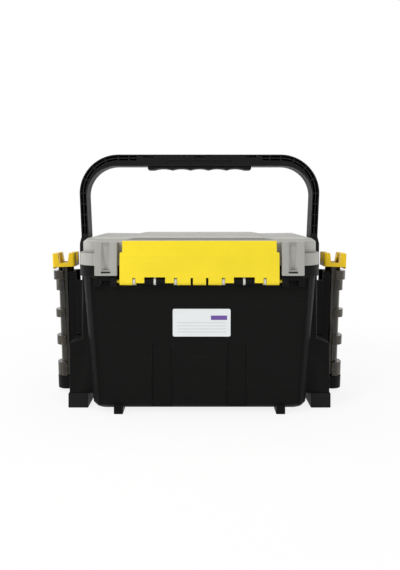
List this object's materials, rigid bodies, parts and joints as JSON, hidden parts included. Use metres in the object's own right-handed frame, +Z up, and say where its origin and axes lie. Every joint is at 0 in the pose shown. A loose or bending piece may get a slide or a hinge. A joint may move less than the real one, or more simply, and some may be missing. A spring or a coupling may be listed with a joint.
{
  "type": "tackle tool box",
  "caption": "Black plastic tackle tool box with grey hinged lid, yellow latch flap, bail handle, lift-out tray and clear rod holders on its sides.",
  "frame": {"origin": "centre of the box on the floor that its feet stand on", "axes": "+X to the box's right seen from the front, +Y to its rear, +Z up; the latch faces -Y"},
  "size_m": [0.5432, 0.293, 0.436],
  "materials": {
    "body_black": "fine moulded grain",
    "foot_black": "matte",
    "label_white": "printed vinyl sticker",
    "pin_steel": "plain",
    "strip_pale": "satin",
    "lid_grey": "satin, fine grain",
    "latch_yellow": "satin gloss",
    "handle_black": "satin",
    "grip_rubber": "matte",
    "tray_grey": "satin",
    "tube_smoke": "clear smoke tint",
    "crown_yellow": "satin gloss",
    "stand_black": "satin"
  },
  "bodies": {
    "box": {"body_shell": "body_black", "corner_feet": "foot_black", "front_label": "label_white", "lid_hinge_pin_left": "pin_steel", "lid_hinge_pin_right": "pin_steel", "latch_hinge_strip_left": "strip_pale", "latch_hinge_strip_right": "strip_pale", "latch_rod_left": "pin_steel", "latch_rod_right": "pin_steel"},
    "lid": {"lid_shell": "lid_grey"},
    "latch": {"latch_flap": "latch_yellow"},
    "handle": {"handle_frame": "handle_black", "handle_grip": "grip_rubber", "handle_hub_left": "handle_black", "handle_hub_right": "handle_black"},
    "tray": {"inner_tray": "tray_grey", "tray_divider_1": "tray_grey", "tray_divider_2": "tray_grey", "tray_divider_3": "tray_grey", "tray_divider_4": "tray_grey"},
    "rod_stand_left": {"rod_tube_left": "tube_smoke", "rod_crown_left": "crown_yellow", "rod_cup_left": "stand_black", "rod_bracket_left": "stand_black", "stand_screws_left": "pin_steel"},
    "rod_stand_right": {"rod_tube_right": "tube_smoke", "rod_crown_right": "crown_yellow", "rod_cup_right": "stand_black", "rod_bracket_right": "stand_black", "stand_screws_right": "pin_steel"}
  },
  "joints": [
    {"name": "lid_hinge", "type": "hinge", "parent": "box", "child": "lid", "pos_m": [0, 0.141, 0.2554], "axis": [-1, 0, 0], "range_deg": [0, 95]},
    {"name": "handle_swing", "type": "hinge", "parent": "box", "child": "handle", "pos_m": [0, 0, 0.2355], "axis": [-1, 0, 0], "range_deg": [0, 123.6]},
    {"name": "latch_hinge", "type": "hinge", "parent": "box", "child": "latch", "pos_m": [0, -0.1403, 0.2195], "axis": [1, 0, 0], "range_deg": [0, 165]},
    {"name": "tray_lift", "type": "slide", "parent": "box", "child": "tray", "axis": [0, 0, 1], "range_m": [0, 0.03]},
    {"name": "rod_stand_left_lift", "type": "slide", "parent": "box", "child": "rod_stand_left", "axis": [-0.0384, 0, 0.9993], "range_m": [0, 0.027]},
    {"name": "rod_stand_right_lift", "type": "slide", "parent": "box", "child": "rod_stand_right", "axis": [0.0384, 0, 0.9993], "range_m": [0, 0.027]}
  ],
  "couplings": [
    {"joint": "handle_swing", "follows": "lid_hinge", "ratio": 1.3}
  ]
}
